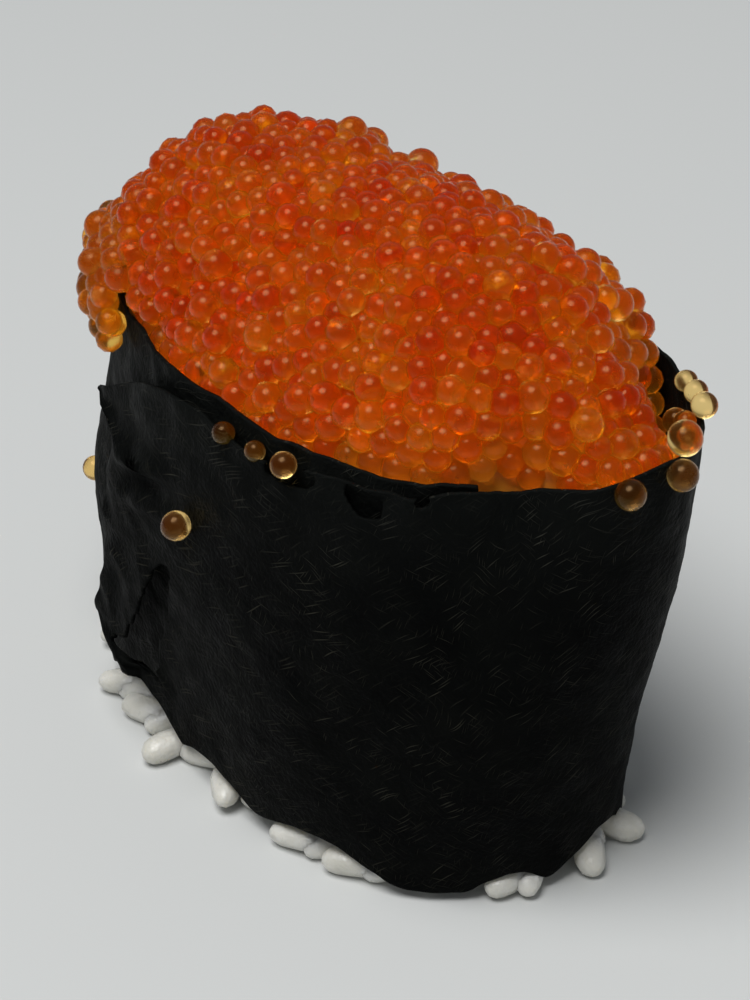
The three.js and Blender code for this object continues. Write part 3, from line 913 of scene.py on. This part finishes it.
def mottle_group():
    """Soft patches between two values."""
    group, nodes, links, given, result = new_group(
        "mottle",
        [("Vector", "Vector", None), ("Scale", "Float", 400.0), ("Low", "Float", 0.0),
         ("High", "Float", 1.0)],
        [("Value", "Float")],
    )
    patches = nodes.new("ShaderNodeTexNoise")
    patches.inputs["Detail"].default_value = 4
    spread = nodes.new("ShaderNodeMapRange")
    spread.inputs["From Min"].default_value = 0.3
    spread.inputs["From Max"].default_value = 0.7
    links.new(given.outputs["Vector"], patches.inputs["Vector"])
    links.new(given.outputs["Scale"], patches.inputs["Scale"])
    links.new(patches.outputs["Fac"], spread.inputs["Value"])
    links.new(given.outputs["Low"], spread.inputs["To Min"])
    links.new(given.outputs["High"], spread.inputs["To Max"])
    links.new(spread.outputs["Result"], result.inputs["Value"])
    return group


def use_group(nodes, links, group, vector, **values):
    node = nodes.new("ShaderNodeGroup")
    node.node_tree = group
    links.new(vector, node.inputs["Vector"])
    for label, value in values.items():
        node.inputs[label.capitalize()].default_value = value
    return node.outputs[0]


def mix_colours(nodes, links, share, first, second):
    """Mixes two colours, each a colour socket or plain values, by a share from 0 to 1."""
    mix = nodes.new("ShaderNodeMix")
    mix.data_type = "RGBA"
    links.new(share, mix.inputs["Factor"])
    for socket, colour in ((mix.inputs["A"], first), (mix.inputs["B"], second)):
        if isinstance(colour, bpy.types.NodeSocket):
            links.new(colour, socket)
        else:
            socket.default_value = (*colour, 1)
    return mix.outputs["Result"]


def add_bump(nodes, links, skin, height, distance, strength=1.0):
    bump = nodes.new("ShaderNodeBump")
    bump.inputs["Distance"].default_value = distance
    bump.inputs["Strength"].default_value = strength
    links.new(height, bump.inputs["Height"])
    links.new(bump.outputs["Normal"], skin.inputs["Normal"])


def larger_of(nodes, links, first, second):
    most = nodes.new("ShaderNodeMath")
    most.operation = "MAXIMUM"
    links.new(first, most.inputs[0])
    links.new(second, most.inputs[1])
    return most.outputs[0]


def egg_material(name, mottle, tints, painted_glow_strength):
    """A wet, clear egg, tinted by its copy's ripeness, with a painted glow: emission that is brighter and
    yellower on its down-facing side, in place of light gathered there.
    """
    material, nodes, links, skin = new_material(name)
    skin.inputs["Transmission Weight"].default_value = 1.0
    skin.inputs["IOR"].default_value = EGG_IOR
    skin.inputs["Specular Tint"].default_value = EGG_GLINT
    ripeness = nodes.new("ShaderNodeAttribute")
    ripeness.attribute_name = "ripeness"
    here = nodes.new("ShaderNodeTexCoord").outputs["Object"]
    links.new(mix_colours(nodes, links, ripeness.outputs["Fac"], *tints), skin.inputs["Base Color"])
    wetness = use_group(nodes, links, mottle, here, scale=900.0, low=0.14, high=0.3)
    links.new(wetness, skin.inputs["Roughness"])
    # Painted glow: the emission colour follows the normal's height, yellower on down-facing sides,
    # standing in for light gathered under each egg.
    facing = nodes.new("ShaderNodeSeparateXYZ")
    links.new(nodes.new("ShaderNodeNewGeometry").outputs["Normal"], facing.inputs[0])
    below = nodes.new("ShaderNodeMapRange")
    below.interpolation_type = "SMOOTHSTEP"
    below.inputs["From Min"].default_value = 0.6
    below.inputs["From Max"].default_value = -0.5
    links.new(facing.outputs["Z"], below.inputs["Value"])
    above = mix_colours(nodes, links, ripeness.outputs["Fac"], *EGG_PAINTED_GLOW_ABOVE)
    under = mix_colours(nodes, links, ripeness.outputs["Fac"], *EGG_PAINTED_GLOW_UNDER)
    painted_glow_colour = mix_colours(nodes, links, below.outputs["Result"], above, under)
    links.new(painted_glow_colour, skin.inputs["Emission Color"])
    skin.inputs["Emission Strength"].default_value = painted_glow_strength
    return material


def core_material(mottle):
    """The shaded mass under the eggs that show, with an even painted orange glow standing in for light
    scattered inside the roe.
    """
    material, nodes, links, skin = new_material("packed_roe")
    here = nodes.new("ShaderNodeTexCoord").outputs["Object"]
    patches = use_group(nodes, links, mottle, here, scale=350.0, low=0.0, high=1.0)
    links.new(mix_colours(nodes, links, patches, *CORE_TINTS), skin.inputs["Base Color"])
    wetness = use_group(nodes, links, mottle, here, scale=900.0, low=0.25, high=0.5)
    links.new(wetness, skin.inputs["Roughness"])
    # Painted glow: an even orange emission in place of light scattered through the packed roe.
    skin.inputs["Emission Color"].default_value = CORE_PAINTED_GLOW_COLOUR
    skin.inputs["Emission Strength"].default_value = CORE_PAINTED_GLOW
    return material


def nori_material(fibres, mottle):
    material, nodes, links, skin = new_material("nori")
    sheet = nodes.new("ShaderNodeUVMap")
    sheet.uv_map = "sheet"
    flat = sheet.outputs["UV"]
    here = nodes.new("ShaderNodeTexCoord").outputs["Object"]
    falling, rising, steep = (
        use_group(nodes, links, fibres, flat, turn=turn, length=length, width=width, size=size, bend=bend)
        for turn, length, width, size, bend in STRAND_LAYERS
    )
    laid = larger_of(nodes, links, larger_of(nodes, links, falling, rising), steep)
    bare = use_group(nodes, links, mottle, here, scale=190.0, low=0.05, high=1.0)
    shown = nodes.new("ShaderNodeMath")
    shown.operation = "MULTIPLY"
    links.new(laid, shown.inputs[0])
    links.new(bare, shown.inputs[1])
    streaks = shown.outputs[0]
    patches = use_group(nodes, links, mottle, here, scale=260.0, low=0.0, high=1.0)
    speck = use_group(nodes, links, mottle, here, scale=2600.0, low=0.0, high=1.0)
    ground = mix_colours(nodes, links, patches, *NORI_TINTS)
    # Painted light: ground and strands turn lighter towards the sheet's top, standing in for the overhead
    # lamp grazing the upper band.
    place = nodes.new("ShaderNodeSeparateXYZ")
    links.new(here, place.inputs[0])
    painted_top_light = nodes.new("ShaderNodeMapRange")
    painted_top_light.interpolation_type = "SMOOTHSTEP"
    painted_top_light.inputs["From Min"].default_value = NORI_PAINTED_LIT_TOP_HEIGHTS[0]
    painted_top_light.inputs["From Max"].default_value = NORI_PAINTED_LIT_TOP_HEIGHTS[1]
    painted_top_light.inputs["To Max"].default_value = NORI_PAINTED_LIT_TOP_SHARE
    links.new(place.outputs["Z"], painted_top_light.inputs["Value"])
    ground = mix_colours(nodes, links, painted_top_light.outputs["Result"], ground, NORI_PAINTED_LIT_TOP_TINT)
    strands = mix_colours(nodes, links, painted_top_light.outputs["Result"], *STRAND_TINTS)
    links.new(mix_colours(nodes, links, streaks, ground, strands), skin.inputs["Base Color"])
    dullness = use_group(nodes, links, mottle, here, scale=500.0, low=0.45, high=0.68)
    links.new(dullness, skin.inputs["Roughness"])
    skin.inputs["Specular IOR Level"].default_value = 0.02
    uneven = nodes.new("ShaderNodeMath")
    uneven.operation = "MULTIPLY_ADD"
    uneven.inputs[1].default_value = 0.5
    links.new(speck, uneven.inputs[0])
    links.new(streaks, uneven.inputs[2])
    add_bump(nodes, links, skin, uneven.outputs[0], 0.00012, 0.9)
    return material


def rice_material(mottle):
    material, nodes, links, skin = new_material("rice")
    here = nodes.new("ShaderNodeTexCoord").outputs["Object"]
    patches = use_group(nodes, links, mottle, here, scale=420.0, low=0.0, high=1.0)
    links.new(mix_colours(nodes, links, patches, *RICE_TINTS), skin.inputs["Base Color"])
    wetness = use_group(nodes, links, mottle, here, scale=900.0, low=0.22, high=0.42)
    links.new(wetness, skin.inputs["Roughness"])
    skin.inputs["Subsurface Weight"].default_value = 0.5
    skin.inputs["Subsurface Radius"].default_value = (0.0016, 0.0015, 0.0013)
    skin.inputs["Subsurface Scale"].default_value = 1.0
    dimples = use_group(nodes, links, mottle, here, scale=1500.0, low=0.0, high=1.0)
    add_bump(nodes, links, skin, dimples, 0.00006)
    return material


def floor_material():
    material, _, _, skin = new_material("floor")
    skin.inputs["Base Color"].default_value = FLOOR_COLOUR
    skin.inputs["Roughness"].default_value = 0.8
    return material


def dress(piece, material, replaced):
    piece.data.materials.clear()
    piece.data.materials.append(material)
    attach(piece, "root")
    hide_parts(replaced)


# ------------------------------------------------------------------ studio


def studio():
    deselect_all()
    bpy.ops.mesh.primitive_plane_add(size=4)
    floor = name_new_piece("floor")
    floor.data.materials.append(floor_material())

    world = bpy.data.worlds.new("studio")
    bpy.context.scene.world = world
    world.use_nodes = True
    background = world.node_tree.nodes["Background"]
    background.inputs["Color"].default_value = SKY_COLOUR
    background.inputs["Strength"].default_value = SKY_STRENGTH

    bpy.ops.object.light_add(type="AREA", location=LAMP_PLACE)
    lamp = bpy.context.object
    lamp.data.shape = "DISK"
    lamp.data.size = LAMP_SIZE
    lamp.data.energy = LAMP_WATTS
    lamp.rotation_euler = (Vector((0, 0, 0.02)) - lamp.location).to_track_quat("-Z", "Y").to_euler()


def camera():
    data = bpy.data.cameras.new("camera")
    data.lens = LENS
    data.sensor_width = 36
    data.clip_start = 0.01
    eye = bpy.data.objects.new("camera", data)
    bpy.context.scene.collection.objects.link(eye)
    eye.location = Vector(CAMERA_PLACE)
    aim = (Vector(CAMERA_TARGET) - eye.location).to_track_quat("-Z", "Y")
    eye.rotation_euler = (aim @ Quaternion((0, 0, 1), math.radians(CAMERA_ROLL))).to_euler()
    bpy.context.scene.camera = eye


def build():
    fibres, mottle = fibres_group(), mottle_group()
    dress(nori_sheet(), nori_material(fibres, mottle), "nori_wrap")
    clear = egg_material("clear_roe", mottle, CLEAR_TINTS, CLEAR_PAINTED_GLOW)
    packed = egg_material("roe", mottle, PACKED_TINTS, PACKED_PAINTED_GLOW)
    dress(stray_eggs(), clear, "nori_wrap")
    rice = rice_material(mottle)
    dress(rice_block(), rice, "rice")
    dress(rice_grains(), rice, "rice")
    dress(roe_core(), core_material(mottle), "roe_heap")
    heap, outside = roe_eggs()
    dress(heap, packed, "roe_heap")
    dress(outside, clear, "roe_heap")
    studio()
    camera()
    bpy.context.scene.view_settings.view_transform = "Standard"


build()
